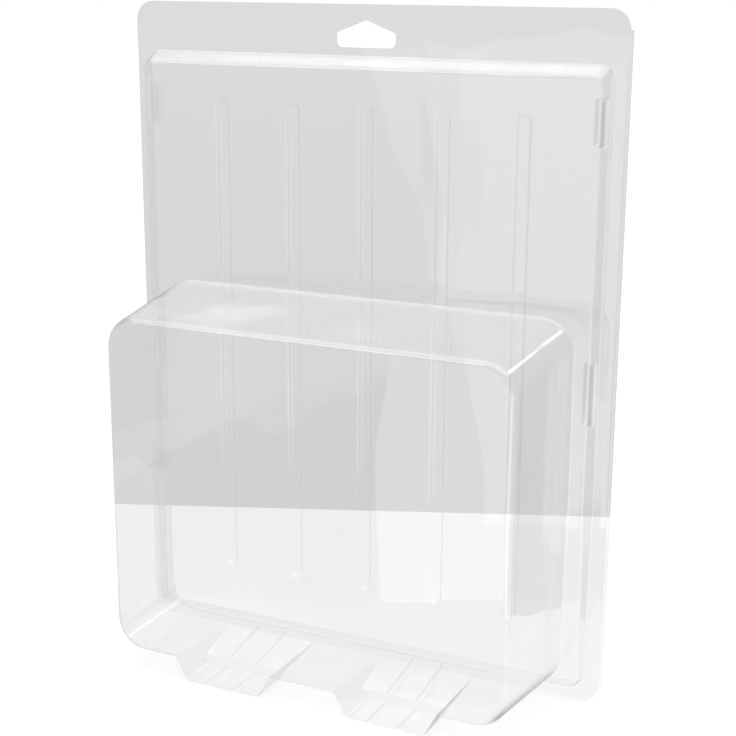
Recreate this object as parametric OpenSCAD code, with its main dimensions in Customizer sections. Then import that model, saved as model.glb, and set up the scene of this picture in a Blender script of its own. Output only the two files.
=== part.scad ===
// Clear thermoformed display pack: a front shell with a tray, a deep bubble and two feet,
// closed at the back by a ribbed door on a live hinge.
// X runs to the right, Y to the back and Z up. The modules are drawn with the flange plane
// at y = 0, and place() then sets the origin under the middle of the pack, which stands on
// z = 0.

/* [Sheet] */
// Thickness of the plastic sheet
wall = 0.5; // [0.3:0.05:0.7]
// Air between the two closed flanges
flange_gap = 0.1; // [0.05:0.05:0.3]

/* [Flange] */
// Width of the flange
flange_w = 262; // [250:1:320]
// Height of the flange
flange_h = 338; // [334:1:420]
// Radius of the flange corners
flange_r = 9.4; // [4:0.2:14]

/* [Hang hole] */
// Width of the hang hole
hole_w = 32; // [26:1:40]
// Height of the hang hole from its base to its peak
hole_h = 13; // [10:0.5:15]
// Height of the upright sides of the hang hole
hole_side = 7; // [4:0.5:8]
// Chamfer at the two lower corners of the hang hole
hole_chamfer = 2; // [0.5:0.5:3]
// Flange left above the peak of the hang hole
hole_top = 7.4; // [5:0.2:9]

/* [Tray] */
// Flange left outside the tray at each side
tray_side = 7.8; // [6:0.2:12]
// Height of the tray floor where it leaves the flange
tray_base = 9.4; // [8:0.2:14]
// Height of the header above the tray
header_h = 24.6; // [23:0.2:40]
// Depth of the tray in front of the flange
tray_d = 9.4; // [8.6:0.2:14]
// Lean of the tray sides over their whole depth
tray_lean = 0.9; // [0.2:0.1:1.6]
// Lean of the tray top over its whole depth
tray_top_lean = 4.6; // [1:0.2:6]
// Lean of the tray floor over its whole depth
tray_floor_lean = 0.5; // [0.3:0.1:0.8]
// Radius of the tray front edge
tray_edge_r = 1.8; // [1:0.1:2.5]
// Radius of the tray corners
tray_corner_r = 4.5; // [3:0.5:8]

/* [Bubble] */
// Width of the bubble at the tray face
bubble_w = 227; // [200:1:230]
// Height of the bubble top at the tray face
bubble_top = 196; // [150:1:260]
// Depth of the bubble in front of the tray face
bubble_d = 62.2; // [45:0.2:90]
// Draft of the bubble sides in degrees
bubble_draft = 5.2; // [2:0.2:7]
// Draft of the bubble top in degrees
top_draft = 7; // [2:0.5:9]
// Draft of the bubble floor in degrees
floor_draft = 1.8; // [0.1:0.1:2.5]
// Radius of the bubble front edges
bubble_edge_r = 3; // [2:0.5:9]
// Radius of the bubble corners
bubble_corner_r = 16; // [8:0.5:22]

/* [Feet] */
// Distance of each foot's middle from the middle of the pack
foot_x = 45.6; // [40:0.2:70]
// Width of a foot pad
foot_w = 42; // [30:0.5:50]
// Outward slope of the foot sides in degrees
foot_flare = 29; // [10:1:35]
// Length of the flat pad from front to back
pad_len = 23.5; // [15:0.5:30]
// Rise of the step behind the pad
foot_step = 4.4; // [2:0.2:6]
// Distance from the flange to the place where the foot meets the floor
foot_end = 13; // [11:0.5:22]
// Set-back of the foot front from the bubble front
foot_inset = 0.5; // [0.3:0.1:1.5]
// Radius of the foot edges
foot_r = 1.8; // [1:0.1:3]
// Distance between the two grooves under a foot
groove_pitch = 16.4; // [10:0.2:22]
// Width of a groove under a foot
groove_w = 3.4; // [2:0.2:5]
// Depth of a groove under a foot
groove_d = 0.8; // [0.4:0.1:1.2]

/* [Door ribs] */
// Number of ribs on the door
rib_count = 5; // [1:1:5]
// Distance between neighbouring ribs
rib_pitch = 40.8; // [20:0.2:46]
// Width of a rib at the sheet
rib_w = 7.6; // [5:0.2:12]
// Height of a rib behind the sheet
rib_h = 2; // [1.2:0.1:3]
// Height of the lower end of the ribs
rib_low = 35.6; // [22:0.2:80]
// Height of the upper end of the ribs
rib_high = 290; // [210:1:300]

/* [Snap locks] */
// Height of the middle of the upper snap lock
lock_high = 287.4; // [230:0.2:290]
// Length of the upper snap lock
lock_high_len = 22.4; // [14:0.2:30]
// Height of the middle of the lower snap lock
lock_low = 160; // [60:1:190]
// Length of the lower snap lock
lock_low_len = 31.8; // [14:0.2:40]
// Depth of the dent in the tray side
dent_d = 1; // [0.6:0.1:1.4]
// Width of the dent across the tray side
dent_w = 4.6; // [3.4:0.2:5]
// Thickness of the lug behind the dent
lug_w = 3.4; // [2.6:0.2:3.8]
// Height of the lug in front of the flange plane
lug_h = 6; // [4:0.2:7]
// Air between a lug and its dent
lug_gap = 0.4; // [0.3:0.05:0.7]

/* [Live hinge] */
// Radius of the rolled bead of the live hinge
bead_r = 0.9; // [0.7:0.05:1.2]
// Air between the bead and the door edge
bead_gap = 0.3; // [0.2:0.05:0.6]

/* [Hidden] */

film = [0.86, 0.9, 0.92, 0.45];

// Straight pieces in a quarter turn: corners and edges of the large forms, then of the small
large_steps = [7, 6];
small_steps = [4, 3];
foot_steps = 4;
// Lap by which forms run into each other
lap = 1;

tray_top = flange_h - header_h;
tray_half = flange_w / 2 - tray_side;
face_y = -tray_d;
front_y = face_y - bubble_d;
floor_z = tray_base + tray_floor_lean;
front_floor_z = floor_z + bubble_d * tan(floor_draft);

foot_front_y = front_y + foot_inset;
pad_back_y = foot_front_y + pad_len;
step_back_y = pad_back_y + foot_step / 3;
foot_top_z = front_floor_z + bubble_edge_r;

door_front = flange_gap;
door_back = flange_gap + wall;
hinge_x = flange_w / 2 + bead_r / 2;
hinge_y = flange_gap / 2;
door_edge_x = hinge_x - bead_r - bead_gap;
bead_len = flange_h - 2 * flange_r;

// Middle of the whole pack, which the origin lies under
mid_x = (hinge_x + bead_r - flange_w / 2) / 2;
mid_y = (front_y + door_back + rib_h) / 2;

// The dents sit at mid depth of the tray side, where the side has leaned in this much
dent_y = -lug_h + dent_w / 2;
lock_lean = tray_lean * lug_h / tray_d;
lug_face_x = tray_half - lock_lean - wall - dent_d - lug_gap;

// Points of a rectangle with rounded corners at depth y, anticlockwise from the front
function ring(x0, x1, z0, z1, r, y, steps) = [
    for (q = [0:3])
    let (cx = q == 0 || q == 3 ? x1 - r : x0 + r, cz = q < 2 ? z1 - r : z0 + r)
    for (i = [0:steps])
    let (a = 90 * (q + i / steps))
    [cx + r * cos(a), y, cz + r * sin(a)]
];

// Solid through a row of rings with equal counts of points, from the front ring to the back
module loft(rings) {
    n = len(rings[0]);
    last = len(rings) - 1;
    sides = [for (k = [0:last - 1]) for (i = [0:n - 1]) let (j = (i + 1) % n)
        [k * n + i, k * n + j, (k + 1) * n + j, (k + 1) * n + i]];
    front = [for (i = [n - 1:-1:0]) i];
    back = [for (i = [0:n - 1]) last * n + i];
    polyhedron([for (r = rings) each r], concat([front], sides, [back]), convexity = 8);
}

// Form pressed forward out of the sheet. box = [x0, x1, z0, z1] is its outline at y = base
// and lean holds how far each of the four sides closes in for each millimetre of depth.
// The form shrinks by skin all round for the hollow inside the sheet.
module pressed(box, lean, base, depth, back, corner_r, edge_r, skin = 0, steps = small_steps) {
    r = edge_r - skin;
    front = base - depth + skin;
    function at(y, inset) =
        let (s = base - y,
             x0 = box[0] + lean[0] * s + skin + inset,
             x1 = box[1] - lean[1] * s - skin - inset,
             z0 = box[2] + lean[2] * s + skin + inset,
             z1 = box[3] - lean[3] * s - skin - inset,
             most = min(x1 - x0, z1 - z0) / 2 - 0.05)
        ring(x0, x1, z0, z1, min(max(corner_r - skin - inset, 0.4), most), y, steps[0]);
    loft(concat(
        [for (i = [steps[1]:-1:0]) let (a = 90 * i / steps[1])
            at(front + r * (1 - sin(a)), r * (1 - cos(a)))],
        [at(back, 0)]
    ));
}

// Flat plate with rounded corners between two depths
module plate(x0, x1, z0, z1, r, y0, y1) {
    outline = [for (p = ring(x0, x1, z0, z1, r, 0, large_steps[0])) [p[0], p[2]]];
    translate([0, y1, 0]) rotate([90, 0, 0]) linear_extrude(y1 - y0) polygon(outline);
}

// House-shaped hole that a display hook goes through
module hang_hole() {
    peak = flange_h - hole_top;
    low = peak - hole_h;
    half = hole_w / 2;
    through = 4 * (wall + flange_gap);
    translate([0, through, 0]) rotate([90, 0, 0]) linear_extrude(2 * through) polygon([
        [half - hole_chamfer, low], [half, low + hole_chamfer], [half, low + hole_side],
        [hole_chamfer, peak - hole_chamfer / 3], [0, peak], [-hole_chamfer, peak - hole_chamfer / 3],
        [-half, low + hole_side], [-half, low + hole_chamfer], [-half + hole_chamfer, low]
    ]);
}

module tray_form(skin, back) {
    pressed([-tray_half, tray_half, tray_base, tray_top],
        [tray_lean, tray_lean, tray_floor_lean, tray_top_lean] / tray_d,
        0, tray_d, back, tray_corner_r, tray_edge_r, skin, [5, 3]);
}

module bubble_form(skin) {
    side = tan(bubble_draft);
    pressed([-bubble_w / 2, bubble_w / 2, floor_z, bubble_top],
        [side, side, tan(floor_draft), tan(top_draft)],
        face_y, bubble_d, face_y / 2, bubble_corner_r, bubble_edge_r, skin, large_steps);
}

// Underside of a foot behind its pad as [y, z] from front to back, raised by skin square to
// itself. The last point lies above the bubble floor, so the slope runs out into the floor.
function foot_line(skin) =
    let (step = atan2(foot_step, step_back_y - pad_back_y),
         slope = atan2(floor_z - foot_step, -foot_end - step_back_y),
         end_y = -foot_end + 3 * lap,
         corner = function(p, a, b) p + skin / cos((a - b) / 2) * [-sin((a + b) / 2), cos((a + b) / 2)])
    [corner([pad_back_y, 0], 0, step),
     corner([step_back_y, foot_step], step, slope),
     corner([end_y, floor_z + 3 * lap * tan(slope)], slope, slope)];

// Foot: a flat pad in front, a step up, and a slope that runs out into the bubble floor
module foot_block(skin) {
    flare = tan(foot_flare);
    r = foot_r - skin;
    function section(y, low, inset) =
        let (half = foot_w / 2 - skin / cos(foot_flare) - inset,
             x0 = half + flare * low, x1 = half + flare * foot_top_z,
             rise = [x0 + r * sin(foot_flare), low + r * cos(foot_flare)],
             turn = [for (i = [0:foot_steps]) let (t = i / foot_steps)
                 (1 - t) * (1 - t) * [x0 - r, low] + 2 * t * (1 - t) * [x0, low] + t * t * rise])
        concat(
            [for (p = turn) [p[0], y, p[1]]],
            [[x1, y, foot_top_z], [-x1, y, foot_top_z]],
            [for (i = [foot_steps:-1:0]) [-turn[i][0], y, turn[i][1]]]
        );
    loft(concat(
        [for (i = [foot_steps:-1:0]) let (a = 90 * i / foot_steps, inset = r * (1 - cos(a)))
            section(foot_front_y + skin + r * (1 - sin(a)), skin + inset, inset)],
        [for (p = foot_line(skin)) section(p[0], p[1], 0)]
    ));
}

// Groove pressed up along the underside of a foot
module groove(skin) {
    half = groove_w / 2 + skin;
    function section(y, z) = [
        [-half, y, z - lap], [half, y, z - lap], [half, y, z], [half / 2, y, z + groove_d],
        [-half / 2, y, z + groove_d], [-half, y, z]
    ];
    loft(concat([section(foot_front_y - lap, skin)], [for (p = foot_line(skin)) section(p[0], p[1])]));
}

module feet_form(skin) {
    for (side = [-1, 1]) translate([side * foot_x, 0, 0]) difference() {
        foot_block(skin);
        for (line = [-1, 1]) translate([line * groove_pitch / 2, 0, 0]) groove(skin);
    }
}

// Each snap lock as [middle, length]
locks = [[lock_high, lock_high_len], [lock_low, lock_low_len]];

// Dents pressed into both tray sides, in front of the lugs
module dents(skin) {
    for (side = [0, 1], lock = locks) mirror([side, 0, 0])
    translate([tray_half - lock_lean, dent_y, lock[0]]) rotate([0, 0, -90])
    pressed([-dent_w / 2 - skin, dent_w / 2 + skin, -lock[1] / 2 - skin, lock[1] / 2 + skin],
        [0.3, 0.3, 0.3, 0.3], 0, dent_d + skin, 2 * tray_lean, dent_w / 2, dent_d / 2);
}

// Lugs on the door that catch behind the dents
module lugs_form(skin, back) {
    for (side = [0, 1], lock = locks) mirror([side, 0, 0])
    pressed([lug_face_x - lug_w, lug_face_x, lock[0] - lock[1] / 2, lock[0] + lock[1] / 2],
        [0.03, 0, 0.05, 0.05], door_front, lug_h + door_front, back, lug_w / 2, 0.9, skin);
}

// Ribs that stand out behind the door: pressed forms turned over in the middle of its sheet
module ribs_form(skin, back) {
    translate([0, door_front + door_back, 0]) mirror([0, 1, 0])
    for (i = [0:rib_count - 1]) translate([(i - (rib_count - 1) / 2) * rib_pitch, 0, 0])
    pressed([-rib_w / 2, rib_w / 2, rib_low, rib_high], [0.5, 0.5, 0.7, 0.7],
        door_front, rib_h, back, rib_w / 2, 0.9, skin);
}

// Rolled bead that the door turns on, along the straight part of the right edge
module hinge_bead() {
    translate([hinge_x, hinge_y, flange_r]) cylinder(r = bead_r, h = bead_len, $fn = 32);
    translate([flange_w / 2 - lap, -wall, flange_r])
        cube([hinge_x - flange_w / 2 + lap, wall, bead_len]);
}

module front_shell() {
    color(film) difference() {
        union() {
            plate(-flange_w / 2, flange_w / 2, 0, flange_h, flange_r, -wall, 0);
            difference() {
                union() {
                    tray_form(0, -wall / 2);
                    bubble_form(0);
                    feet_form(0);
                }
                dents(0);
            }
            hinge_bead();
        }
        difference() {
            union() {
                tray_form(wall, lap);
                bubble_form(wall);
                feet_form(wall);
            }
            dents(wall);
        }
        hang_hole();
    }
}

module back_door() {
    color(film) difference() {
        union() {
            plate(-flange_w / 2, door_edge_x, 0, flange_h, flange_r, door_front, door_back);
            ribs_form(0, door_front + wall / 2);
            lugs_form(0, door_front + wall / 2);
        }
        ribs_form(wall, door_back + lap);
        lugs_form(wall, door_back + lap);
        hang_hole();
    }
}

module place() {
    translate([-mid_x, -mid_y, 0]) children();
}

place() front_shell();
place() back_door();
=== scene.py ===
import math

import bmesh
import bpy
from mathutils import Matrix, Vector


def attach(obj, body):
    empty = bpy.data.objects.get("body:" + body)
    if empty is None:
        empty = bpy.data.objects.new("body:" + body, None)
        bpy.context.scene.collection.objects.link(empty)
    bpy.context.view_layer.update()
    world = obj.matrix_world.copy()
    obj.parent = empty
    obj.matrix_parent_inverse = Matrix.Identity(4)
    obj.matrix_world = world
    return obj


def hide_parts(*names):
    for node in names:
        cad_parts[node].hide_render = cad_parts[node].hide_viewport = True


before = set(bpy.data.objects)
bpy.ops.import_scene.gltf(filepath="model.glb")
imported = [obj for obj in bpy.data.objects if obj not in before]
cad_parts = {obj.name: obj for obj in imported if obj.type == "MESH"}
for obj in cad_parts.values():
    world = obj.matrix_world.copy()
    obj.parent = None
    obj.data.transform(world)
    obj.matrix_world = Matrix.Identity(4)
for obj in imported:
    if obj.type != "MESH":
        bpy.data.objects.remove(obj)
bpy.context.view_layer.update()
print("packed model loaded")

# sizes in mm and angles in degrees, as on the real pack
sheet = {"thickness": 0.5, "gap": 0.1}

flange = {"width": 262, "height": 338, "corner": 9.4, "steps": 16}

hangHole = {
    "width": 32, "height": 13, "side": 7, "chamfer": 2, "below": 7.4,
    "peakLift": 0.1, "soften": 0.9, "reach": 3,
}

tray = {
    "side": 7.8, "base": 9.4, "header": 24.6, "depth": 9.4,
    "sideLean": 0.9, "topLean": 4.6, "floorLean": 0.5,
    "edge": 1.8, "corner": 4.5, "fillet": 0.9, "steps": (10, 7),
}

bubble = {
    "width": 227, "top": 196, "depth": 62.2, "draft": 5.2, "topDraft": 7, "floorDraft": 1.8,
    "edge": 3, "corner": 16, "fillet": 1.2, "steps": (20, 10),
}

feet = {
    "middle": 45.6, "width": 42, "flare": 29, "padLength": 23.5, "step": 4.4, "end": 13,
    "stepRise": 3, "inset": 0.5, "edge": 1.8, "runOn": 3, "steps": 6,
    "groovePitch": 16.4, "grooveWidth": 3.4, "grooveDepth": 0.8,
}

ribs = {
    "count": 5, "pitch": 40.8, "width": 7.6, "height": 2, "low": 35.6, "high": 290,
    "lean": (0.5, 0.5, 0.7, 0.7), "edge": 0.9, "fillet": 0.6, "steps": (8, 5),
}

locks = {
    "places": ((287.4, 22.4), (160, 31.8)),  # middle and length of each
    "dentDepth": 1, "dentWidth": 4.6, "dentLean": (0.3, 0.3, 0.3, 0.3),
    "lugWidth": 3.4, "lugHeight": 6, "lugLean": (0.03, 0, 0.05, 0.05), "lugEdge": 0.9,
    "gap": 0.4, "steps": (6, 4),
}

hinge = {"bead": 0.9, "gap": 0.3, "steps": 24}

past = 1  # how far a cutter runs past what it cuts
mm = 0.001  # in metres

view = {  # camera of the photo: place and lens in mm, clip in metres
    "place": (328.52, -644.555, 355.2), "ahead": (-0.42171, 0.86745, -0.26399),
    "up": (-0.11967, 0.23535, 0.96451), "lens": 74.84, "sensor": 36, "shift": (0.0072, 0.0241),
    "clip": (0.01, 50),
}

wall = sheet["thickness"]
faceY = -tray["depth"]
frontY = faceY - bubble["depth"]
floorZ = tray["base"] + tray["floorLean"]
trayTop = flange["height"] - tray["header"]
trayHalf = flange["width"] / 2 - tray["side"]
doorFront = sheet["gap"]
doorBack = doorFront + wall
hingeX = flange["width"] / 2 + hinge["bead"] / 2
hingeY = doorFront / 2
doorEdgeX = hingeX - hinge["bead"] - hinge["gap"]
lockLean = tray["sideLean"] * locks["lugHeight"] / tray["depth"]
middle = Vector((
    (hingeX + hinge["bead"] - flange["width"] / 2) / 2, (frontY + doorBack + ribs["height"]) / 2, 0,
))


def tangent(degrees):
    return math.tan(math.radians(degrees))


def arc(steps, first, last):
    return [math.radians(first + (last - first) * i / steps) for i in range(steps + 1)]


def ring(x0, x1, z0, z1, radius, y, steps):
    # points of a rounded rectangle, anticlockwise from the front
    points = []
    for quarter in range(4):
        cx = x1 - radius if quarter in (0, 3) else x0 + radius
        cz = z1 - radius if quarter < 2 else z0 + radius
        for a in arc(steps, 90 * quarter, 90 * quarter + 90):
            points.append((cx + radius * math.cos(a), y, cz + radius * math.sin(a)))
    return points


def meshPiece(name, points, faces):
    mesh = bpy.data.meshes.new(name)
    mesh.from_pydata([Vector(p) for p in points], [], faces)
    shape = bmesh.new()
    shape.from_mesh(mesh)
    bmesh.ops.recalc_face_normals(shape, faces=shape.faces)
    shape.to_mesh(mesh)
    shape.free()
    piece = bpy.data.objects.new(name, mesh)
    bpy.context.scene.collection.objects.link(piece)
    return piece


def loft(name, rings, place=None):
    # closed solid through rings with equal counts of points
    n = len(rings[0])
    points = [p if place is None else place(Vector(p)) for r in rings for p in r]
    faces = []
    for k in range(len(rings) - 1):
        for i in range(n):
            j = (i + 1) % n
            faces.append((k * n + i, k * n + j, (k + 1) * n + j, (k + 1) * n + i))
    faces.append(tuple(range(n - 1, -1, -1)))
    faces.append(tuple((len(rings) - 1) * n + i for i in range(n)))
    return meshPiece(name, points, faces)


def pressed(
    name, box, lean, base, depth, back, corner, edge, skin=0,
    steps=(6, 4), flare=0, foot=None, place=None,
):
    # form pressed forward out of the sheet; skin shrinks it for the hollow, flare rounds its foot
    leastCorner, leastFlat = 0.4, 0.05
    radius = edge - skin
    front = base - depth + skin
    foot = base if foot is None else foot

    def at(y, inset):
        s = base - y
        x0, x1 = box[0] + lean[0] * s + skin + inset, box[1] - lean[1] * s - skin - inset
        z0, z1 = box[2] + lean[2] * s + skin + inset, box[3] - lean[3] * s - skin - inset
        most = min(x1 - x0, z1 - z0) / 2 - leastFlat
        return ring(x0, x1, z0, z1, min(max(corner - skin - inset, leastCorner), most), y, steps[0])

    rings = [
        at(front + radius * (1 - math.sin(a)), radius * (1 - math.cos(a))) for a in arc(steps[1], 90, 0)
    ]
    if flare:
        reach, level = flare + skin, foot + skin
        for a in arc(steps[1], 0, 90):
            rings.append(at(level - reach * (1 - math.sin(a)), -reach * (1 - math.cos(a))))
        rings.append(at(back, -reach))
    else:
        rings.append(at(back, 0))
    return loft(name, rings, place)


def prism(name, outline, y0, y1):
    return loft(name, [[(x, y, z) for x, z in outline] for y in (y0, y1)])


def combine(target, others, operation):
    for other in others:
        change = target.modifiers.new("join", "BOOLEAN")
        change.solver = "MANIFOLD"
        change.operation = operation
        change.object = other
    seen = bpy.context.evaluated_depsgraph_get()
    mesh = bpy.data.meshes.new_from_object(target.evaluated_get(seen))
    target.modifiers.clear()
    target.data = mesh
    for other in others:
        bpy.data.objects.remove(other)
    return target


def plate(name, x0, x1, y0, y1):
    edge = ring(x0, x1, 0, flange["height"], flange["corner"], 0, flange["steps"])
    return prism(name, [(x, z) for x, _, z in edge], y0, y1)


def softened(outline, radius, steps=4, share=0.45):
    # outline with each corner rounded a little, by no more than a share of the edges beside it
    points = []
    for i, corner in enumerate(outline):
        corner = Vector(corner)
        before = Vector(outline[i - 1]) - corner
        after = Vector(outline[(i + 1) % len(outline)]) - corner
        cut = min(radius, share * before.length, share * after.length)
        a, b = corner + before.normalized() * cut, corner + after.normalized() * cut
        for k in range(steps + 1):
            t = k / steps
            points.append(tuple((1 - t) ** 2 * a + 2 * t * (1 - t) * corner + t * t * b))
    return points


def holeCutter():
    peak = flange["height"] - hangHole["below"]
    low, half, cut = peak - hangHole["height"], hangHole["width"] / 2, hangHole["chamfer"]
    side = low + hangHole["side"]
    outline = [
        (half - cut, low), (half, low + cut), (half, side), (0, peak + hangHole["peakLift"]),
        (-half, side), (-half, low + cut), (-half + cut, low),
    ]
    reach = hangHole["reach"]
    return prism("holeCutter", softened(outline, hangHole["soften"]), -reach, reach)


def trayForm(skin, back):
    lean = [tray[key] / tray["depth"] for key in ("sideLean", "sideLean", "floorLean", "topLean")]
    return pressed(
        "trayForm", (-trayHalf, trayHalf, tray["base"], trayTop), lean, 0, tray["depth"], back,
        tray["corner"], tray["edge"], skin, tray["steps"], tray["fillet"], -wall,
    )


def bubbleForm(skin):
    side = tangent(bubble["draft"])
    return pressed(
        "bubbleForm", (-bubble["width"] / 2, bubble["width"] / 2, floorZ, bubble["top"]),
        (side, side, tangent(bubble["floorDraft"]), tangent(bubble["topDraft"])),
        faceY, bubble["depth"], faceY + 2 * past,
        bubble["corner"], bubble["edge"], skin, bubble["steps"], bubble["fillet"], faceY,
    )


footFront = frontY + feet["inset"]
padBack = footFront + feet["padLength"]
stepBack = padBack + feet["step"] / feet["stepRise"]
footTop = floorZ + bubble["depth"] * tangent(bubble["floorDraft"]) + bubble["edge"]


def footLine(skin):
    # underside of a foot behind its pad as (y, z), raised by skin square to itself
    stepAngle = math.atan2(feet["step"], stepBack - padBack)
    slope = math.atan2(floorZ - feet["step"], -feet["end"] - stepBack)

    def corner(y, z, a, b):
        reach = skin / math.cos((a - b) / 2)
        return y - reach * math.sin((a + b) / 2), z + reach * math.cos((a + b) / 2)

    return [
        corner(padBack, 0, 0, stepAngle),
        corner(stepBack, feet["step"], stepAngle, slope),
        corner(-feet["end"] + feet["runOn"], floorZ + feet["runOn"] * math.tan(slope), slope, slope),
    ]


def footForm(x, skin):
    flare = tangent(feet["flare"])
    cos, sin = math.cos(math.radians(feet["flare"])), math.sin(math.radians(feet["flare"]))
    radius = feet["edge"] - skin

    def section(y, low, inset):
        half = feet["width"] / 2 - skin / cos - inset
        x0, x1 = half + flare * low, half + flare * footTop
        turn = []
        for i in range(feet["steps"] + 1):
            t = i / feet["steps"]
            a, b, c = (1 - t) ** 2, 2 * t * (1 - t), t * t
            turn.append((
                a * (x0 - radius) + b * x0 + c * (x0 + radius * sin),
                (a + b) * low + c * (low + radius * cos),
            ))
        right = [(px, y, pz) for px, pz in turn]
        left = [(-px, y, pz) for px, pz in reversed(turn)]
        return right + [(x1, y, footTop), (-x1, y, footTop)] + left

    rings = []
    for a in arc(feet["steps"], 90, 0):
        inset = radius * (1 - math.cos(a))
        rings.append(section(footFront + skin + radius * (1 - math.sin(a)), skin + inset, inset))
    rings += [section(y, z, 0) for y, z in footLine(skin)]
    block = loft("footForm", rings, lambda p: p + Vector((x, 0, 0)))

    half, deep = feet["grooveWidth"] / 2 + skin, feet["grooveDepth"]

    def slot(y, z):
        return [
            (-half, y, z - past), (half, y, z - past), (half, y, z),
            (half / 2, y, z + deep), (-half / 2, y, z + deep), (-half, y, z),
        ]

    grooves = []
    for line in (-1, 1):
        shift = Vector((x + line * feet["groovePitch"] / 2, 0, 0))
        rows = [slot(footFront - past, skin)] + [slot(y, z) for y, z in footLine(skin)]
        grooves.append(loft("groove", rows, lambda p: p + shift))
    return combine(block, grooves, "DIFFERENCE")


def dentForms(skin):
    forms = []
    deep = locks["dentDepth"]
    for side in (-1, 1):
        for height, length in locks["places"]:
            def place(p):
                across = locks["dentWidth"] / 2 - locks["lugHeight"] - p.x
                return Vector((side * (trayHalf - lockLean + p.y), across, height + p.z))

            half, tall = locks["dentWidth"] / 2 + skin, length / 2 + skin
            forms.append(pressed(
                "dent", (-half, half, -tall, tall), locks["dentLean"], 0, deep + skin,
                2 * tray["sideLean"], locks["dentWidth"] / 2, deep / 2, 0, locks["steps"], place=place,
            ))
    return forms


def frontForms(skin, back):
    added = [bubbleForm(skin)] + [footForm(side * feet["middle"], skin) for side in (-1, 1)]
    body = combine(trayForm(skin, back), added, "UNION")
    return combine(body, dentForms(skin), "DIFFERENCE")


def lugForms(skin, back):
    faceX = trayHalf - lockLean - wall - locks["dentDepth"] - locks["gap"]
    forms = []
    for side in (-1, 1):
        for height, length in locks["places"]:
            forms.append(pressed(
                "lug", (faceX - locks["lugWidth"], faceX, height - length / 2, height + length / 2),
                locks["lugLean"], doorFront, locks["lugHeight"] + doorFront, back,
                locks["lugWidth"] / 2, locks["lugEdge"], skin, locks["steps"],
                place=lambda p: Vector((side * p.x, p.y, p.z)),
            ))
    return forms


def ribForms(skin, back):
    # stand out behind the sheet, so they are pressed like the rest and turned round in it
    forms = []
    for i in range(ribs["count"]):
        x, half = (i - (ribs["count"] - 1) / 2) * ribs["pitch"], ribs["width"] / 2
        forms.append(pressed(
            "rib", (x - half, x + half, ribs["low"], ribs["high"]), ribs["lean"],
            doorFront, ribs["height"], back, half, ribs["edge"], skin, ribs["steps"],
            ribs["fillet"], doorFront, lambda p: Vector((p.x, doorFront + doorBack - p.y, p.z)),
        ))
    return forms


def smoothed(piece, degrees=32, weld=1e-6):
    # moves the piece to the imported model's place in metres, rounds its shading, keeps edges crisp
    piece.data.transform(Matrix.Scale(mm, 4) @ Matrix.Translation(-middle))
    shape = bmesh.new()
    shape.from_mesh(piece.data)
    bmesh.ops.remove_doubles(shape, verts=shape.verts, dist=weld)
    bmesh.ops.recalc_face_normals(shape, faces=shape.faces)
    for face in shape.faces:
        face.smooth = True
    for edge in shape.edges:
        edge.smooth = len(edge.link_faces) == 2 and edge.calc_face_angle() < math.radians(degrees)
    shape.to_mesh(piece.data)
    shape.free()
    weigh = piece.modifiers.new("even", "WEIGHTED_NORMAL")
    weigh.keep_sharp = True
    mesh = bpy.data.meshes.new_from_object(piece.evaluated_get(bpy.context.evaluated_depsgraph_get()))
    piece.modifiers.clear()
    piece.data = mesh
    return piece


def makeFront():
    body = plate("front_shell_film", -flange["width"] / 2, flange["width"] / 2, -wall, 0)
    low, high = flange["corner"], flange["height"] - flange["corner"]
    bead = loft("bead", [
        [
            (hingeX + hinge["bead"] * math.cos(a), hingeY + hinge["bead"] * math.sin(a), z)
            for a in arc(hinge["steps"], 0, 360)[:-1]
        ]
        for z in (low, high)
    ])
    webX = flange["width"] / 2 - past
    web = prism("web", [(webX, low), (hingeX, low), (hingeX, high), (webX, high)], -wall, 0)
    combine(body, [frontForms(0, -wall / 2), web, bead], "UNION")
    combine(body, [frontForms(wall, past)], "DIFFERENCE")
    return smoothed(combine(body, [holeCutter()], "DIFFERENCE"))


def makeDoor():
    body = plate("back_door_film", -flange["width"] / 2, doorEdgeX, doorFront, doorBack)
    combine(body, ribForms(0, doorFront + wall / 2) + lugForms(0, doorFront + wall / 2), "UNION")
    combine(body, ribForms(wall, doorBack + past) + lugForms(wall, doorBack + past), "DIFFERENCE")
    return smoothed(combine(body, [holeCutter()], "DIFFERENCE"))


class Wire:
    # a socket that takes part in Python maths
    def __init__(self, finish, socket):
        self.finish, self.socket = finish, socket

    def join(self, operation, *values):
        return self.finish.node("ShaderNodeMath", {"operation": operation}, *values)

    def __add__(self, other):
        return self.join("ADD", self, other)

    def __mul__(self, other):
        return self.join("MULTIPLY", self, other)

    def __sub__(self, other):
        return self.join("SUBTRACT", self, other)

    def __rsub__(self, other):
        return self.join("SUBTRACT", other, self)

    def __pow__(self, other):
        return self.join("POWER", self, other)

    __radd__, __rmul__ = __add__, __mul__

    def above(self, level):
        return self.join("GREATER_THAN", self, level)

    def below(self, level):
        return self.join("LESS_THAN", self, level)

    def least(self, other):
        return self.join("MINIMUM", self, other)


class Finish:
    # node tree of one material or of the world
    def __init__(self, owner):
        self.owner = owner
        owner.use_nodes = True
        self.tree = owner.node_tree
        self.tree.nodes.clear()

    def node(self, kind, settings=None, *values, out=0, **named):
        made = self.tree.nodes.new(kind)
        for key, value in (settings or {}).items():
            setattr(made, key, value)
        for key, value in list(enumerate(values)) + list(named.items()):
            target = made.inputs[key]
            if isinstance(value, Wire):
                self.tree.links.new(value.socket, target)
            else:
                target.default_value = value
        return Wire(self, made.outputs[out]) if len(made.outputs) else made


def blended(share, first, second):
    return first + (second - first) * share


def grey(node, shade):
    return node("ShaderNodeCombineXYZ", {}, shade, shade, shade)


def parts(node, vector):
    split = node("ShaderNodeSeparateXYZ", {}, vector)
    return [Wire(split.finish, output) for output in split.socket.node.outputs]


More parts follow.
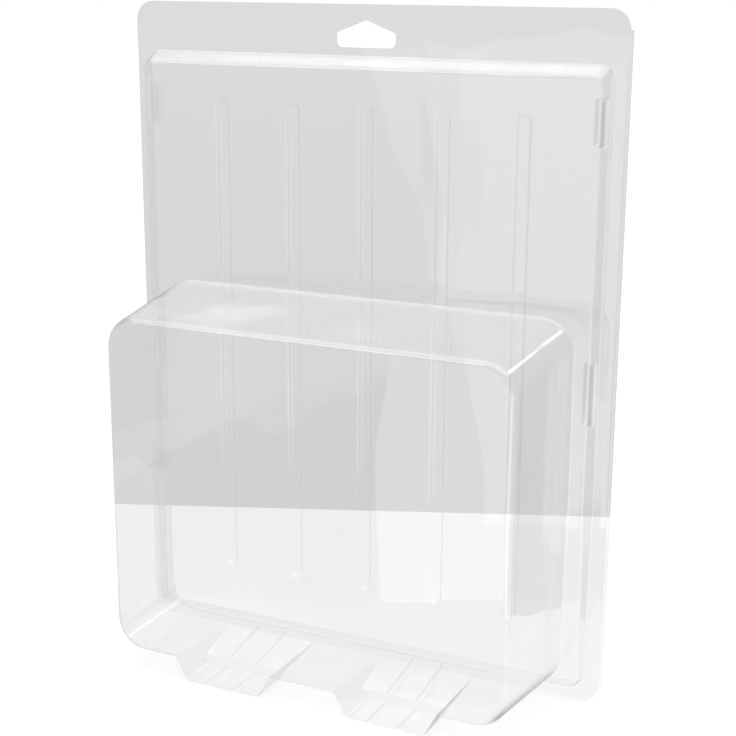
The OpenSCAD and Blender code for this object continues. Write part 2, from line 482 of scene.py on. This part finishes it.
def eased(node, value, span, first, last):
    # goes smoothly from first to last while value crosses the span
    return node("ShaderNodeMapRange", {"interpolation_type": "SMOOTHSTEP"}, value, *span, first, last)


def rays(node):
    # whether the camera sees the spot with no film before it, and whether a reflection shows it
    path = node("ShaderNodeLightPath")
    camera, depth, glossy = (
        Wire(path.finish, path.socket.node.outputs[name])
        for name in ("Is Camera Ray", "Transparent Depth", "Is Glossy Ray")
    )
    return camera * depth.below(0.5), glossy


# haze and milk are the film's own slight cloudiness; the edge part, its power and dark are painted
# shade where the sheet turns edge-on
film = {
    "waveScale": (14, 14, 5), "waveShift": (1, 0.7, 0.3), "waveDetail": 1.0,
    "wave": 0.3, "waveReach": 0.01,
    "tint": (0.99, 0.99, 0.99), "rough": 0.03,
    "mirror": 0.04, "mirrorPower": 4.5, "mirrorMost": 0.9,
    "haze": 0.02, "hazeLeast": 0.5, "paintedEdgeShade": 0.5, "edgeShadePower": 7.5, "hazeAndShadeMost": 0.7,
    "milk": 0.76, "dark": 0.05, "darkens": (0.5, 0.95), "hazeAndShadeRough": 0.35,
}


def filmFinish(name, seed):
    # clear sheet: see-through head on, with a little real haze, glossy where it turns away, and darker
    # there from painted shade that stands in for the dark lines a bent film shows
    finish = Finish(bpy.data.materials.new(name))
    node = finish.node
    place = node("ShaderNodeTexCoord", out=3)
    shift = tuple(seed * part for part in film["waveShift"])
    drawn = node("ShaderNodeMapping", {}, place, shift, Scale=film["waveScale"])
    waves = node("ShaderNodeTexNoise", {}, Vector=drawn, Scale=1.0, Detail=film["waveDetail"])
    bump = node("ShaderNodeBump", {}, Strength=film["wave"], Distance=film["waveReach"], Height=waves)
    away = node("ShaderNodeLayerWeight", {}, Blend=0.5, Normal=bump, out=1)

    mirror = film["mirror"] + (1 - film["mirror"]) * away ** film["mirrorPower"]
    clear = node("ShaderNodeBsdfTransparent", {}, Color=(*film["tint"], 1))
    gloss = node("ShaderNodeBsdfGlossy", {}, Color=(1, 1, 1, 1), Roughness=film["rough"], Normal=bump)
    glassy = node("ShaderNodeMixShader", {}, mirror.least(film["mirrorMost"]), clear, gloss)

    # real haze, plus painted edge shade that grows as the sheet turns away
    hazeAndEdgeShade = film["haze"] * (film["hazeLeast"] + waves) + film["paintedEdgeShade"] * away ** film["edgeShadePower"]
    # haze colour head on, going to a painted dark shade where the sheet turns edge-on
    shade = node("ShaderNodeMapRange", {}, away, *film["darkens"], film["milk"], film["dark"])
    hazeAndShade = node("ShaderNodeBsdfPrincipled", {}, **{
        "Base Color": grey(node, shade), "Roughness": film["hazeAndShadeRough"], "Specular IOR Level": 0.0,
    })
    surface = node("ShaderNodeMixShader", {}, hazeAndEdgeShade.least(film["hazeAndShadeMost"]), glassy, hazeAndShade)
    node("ShaderNodeOutputMaterial", {}, surface)
    return finish.owner


for piece, body, node, slot, seed in (
    (makeFront(), "front", "front_shell", "front_film", 1.7),
    (makeDoor(), "door", "back_door", "door_film", 5.3),
):
    finish = filmFinish(slot, seed)
    piece.data.materials.clear()
    piece.data.materials.append(finish)
    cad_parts[node].data.materials.clear()
    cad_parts[node].data.materials.append(finish)
    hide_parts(node)
    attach(piece, body)
    print(piece.name, len(piece.data.polygons), "faces")

# stage, in metres and degrees: white table top and the wall behind it, seen through the film
floorSize = 12
board = {"turn": 22.3, "back": 0.2547, "right": 0.2058, "left": -0.9, "front": -0.9}
room = {
    "plain": 0.92, "wall": 0.675, "farWall": 0.725, "table": 0.975, "sky": 1.1, "glow": 0.2,
    "lessGreen": 0.006, "moreBlue": 0.012,
}
# dim and bright floor areas and the room's sides, which only reflections show
mirrored = {
    "split": 24.8, "splitAt": 0.055, "front": -0.04, "near": -0.17, "dim": 0.56, "bright": 1.5,
    "far": -0.6, "farSlant": 1.5, "farDim": 0.9,
    "aside": 0.25, "asideTo": -0.4, "asideBright": 2.4,
    "side": 0.92, "behind": 1.03, "behindSpan": (0.1, 0.6),
    "right": 0.48, "rightSpan": (0.4, 0.5), "top": 2.55, "topSpan": (0.62, 0.78),
}
# small bright places that only reflections show: direction, half width in degrees, strength
glints = (
    ((0.38, 0.77, 0.51), 3, 2.6),
    ((0.26, 0.87, 0.42), 4, 1.4),
    ((-0.46, -0.66, 0.58), 9, 3),
)
glintEdge = 0.2


def floorFinish():
    # white where the camera looks straight at it, table and wall where it is seen through the film
    finish = Finish(bpy.data.materials.new("paleFloor"))
    finish.owner.cycles.emission_sampling = "NONE"
    node = finish.node
    direct, glossy = rays(node)
    place = node("ShaderNodeNewGeometry", out=0)

    def turned(degrees):
        return parts(node, node("ShaderNodeMapping", {}, place, Rotation=(0, 0, math.radians(degrees))))

    u, v, _ = turned(-board["turn"])
    onBoard = v.below(board["back"]) * u.below(board["right"]) * u.above(board["left"])
    onBoard = onBoard * v.above(board["front"])
    wallSpan = (board["back"], floorSize / 2)
    paleWall = node("ShaderNodeMapRange", {}, v, *wallSpan, room["wall"], room["farWall"])
    behind = blended(onBoard, paleWall, room["table"])

    across, along, _ = turned(mirrored["split"])
    lit = across.above(mirrored["splitAt"]) * along.below(mirrored["near"])
    aside = across.above(mirrored["aside"]) * along.above(mirrored["asideTo"])
    far = (along + mirrored["farSlant"] * across).below(mirrored["far"])
    inFront = blended(lit, blended(far, mirrored["dim"], mirrored["farDim"]), mirrored["bright"])
    inFront = blended(aside, inFront, mirrored["asideBright"])
    inBack = blended(u.above(board["right"]), behind, mirrored["right"])
    shade = blended(glossy, behind, blended(along.below(mirrored["front"]), inBack, inFront))

    green, blue = shade * (1 - room["lessGreen"] * onBoard), shade * (1 + room["moreBlue"] * onBoard)
    seen = node("ShaderNodeEmission", {}, node("ShaderNodeCombineXYZ", {}, shade, green, blue), 1.0)
    plain = node("ShaderNodeBsdfDiffuse", {}, Color=(*[room["plain"]] * 3, 1))
    surface = node("ShaderNodeMixShader", {}, direct, seen, plain)
    glow = node("ShaderNodeEmission", {}, grey(node, room["glow"] * direct), 1.0)
    node("ShaderNodeOutputMaterial", {}, node("ShaderNodeAddShader", {}, surface, glow))
    return finish.owner


def worldFinish():
    # plain room: white straight on, soft through the film, with sides and glints in reflections
    world = bpy.data.worlds.new("room")
    world.cycles.sampling_method = "NONE"
    bpy.context.scene.world = world
    node = Finish(world).node
    direct, glossy = rays(node)
    way = node("ShaderNodeTexCoord", out=0)
    x, y, up = parts(node, way)
    soft = node("ShaderNodeMapRange", {}, up, 0.0, 1.0, room["farWall"], room["sky"])
    mirror = eased(node, y, mirrored["behindSpan"], mirrored["side"], mirrored["behind"])
    mirror = eased(node, x, mirrored["rightSpan"], mirror, mirrored["right"])
    mirror = eased(node, up, mirrored["topSpan"], mirror, mirrored["top"])
    for place, half, strength in glints:
        aim = Vector(place).normalized()
        near = node("ShaderNodeVectorMath", {"operation": "DOT_PRODUCT"}, way, aim, out=1)
        rim = [math.cos(math.radians(half * share)) for share in (1 + glintEdge, 1 - glintEdge)]
        mirror = mirror + eased(node, near, rim, 0.0, strength)
    shade = blended(direct, blended(glossy, soft, mirror), 1.0)
    node("ShaderNodeOutputWorld", {}, node("ShaderNodeBackground", {}, grey(node, shade), 1.0))


bpy.ops.mesh.primitive_plane_add(size=floorSize, location=(0, 0, 0))
floor = bpy.context.object
floor.name = "floor"
floor.data.materials.append(floorFinish())
worldFinish()

lens = bpy.data.cameras.new("photoCamera")
lens.lens, lens.sensor_width = view["lens"], view["sensor"]
lens.shift_x, lens.shift_y = view["shift"]
lens.clip_start, lens.clip_end = view["clip"]
camera = bpy.data.objects.new("photoCamera", lens)
bpy.context.scene.collection.objects.link(camera)
ahead, upward = Vector(view["ahead"]), Vector(view["up"])
turn = Matrix((ahead.cross(upward), upward, -ahead)).transposed().to_4x4()
camera.matrix_world = Matrix.Translation(Vector(view["place"]) * mm) @ turn
bpy.context.scene.camera = camera

bpy.context.scene.view_settings.view_transform = "Standard"
cycles = bpy.context.scene.cycles
cycles.max_bounces, cycles.diffuse_bounces, cycles.glossy_bounces = 4, 1, 3
cycles.transparent_max_bounces = 40

print("scene ready")
